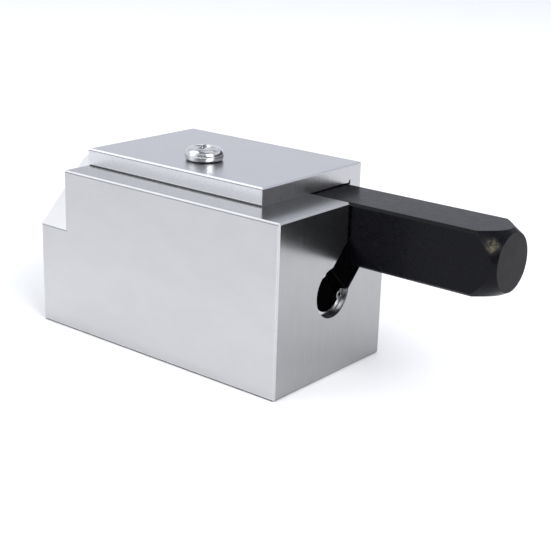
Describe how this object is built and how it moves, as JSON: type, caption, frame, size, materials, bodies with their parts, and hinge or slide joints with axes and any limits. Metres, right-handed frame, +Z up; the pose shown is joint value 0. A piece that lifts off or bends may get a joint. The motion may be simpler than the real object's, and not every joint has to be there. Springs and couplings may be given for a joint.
{
  "type": "right-angle corner chisel",
  "caption": "Corner chisel for hinge recesses: a black square bar slides in the corner of an aluminium guide block, under an L-shaped guide angle held by pan-head screws.",
  "frame": {"origin": "middle of the guide block's bottom face", "axes": "+X along the bar, from the cutting end to the struck end; +Z up, from the bottom face to the top leg of the angle; +Y from the front face to the back leg"},
  "size_m": [0.0849, 0.0365, 0.0361],
  "materials": {
    "block_aluminium": "finely brushed, edges broken bright",
    "angle_aluminium": "satin, edges broken bright",
    "plated_screw": "bright plated",
    "black_steel": "black oxide, slightly worn at the struck end",
    "bright_steel": "bright drawn"
  },
  "bodies": {
    "guide": {"guide_block": "block_aluminium", "guide_angle": "angle_aluminium", "angle_screws": "plated_screw", "retaining_ring": "bright_steel", "return_spring": "bright_steel"},
    "chisel": {"chisel_bar": "black_steel", "bar_key": "black_steel", "key_pin": "bright_steel"}
  },
  "joints": [
    {"name": "bar_slide", "type": "slide", "parent": "guide", "child": "chisel", "axis": [-1, 0, 0], "range_m": [0, 0.01], "stiffness_N_per_m": 1200, "springref_m": -0.006, "deforming": ["return_spring"]}
  ]
}
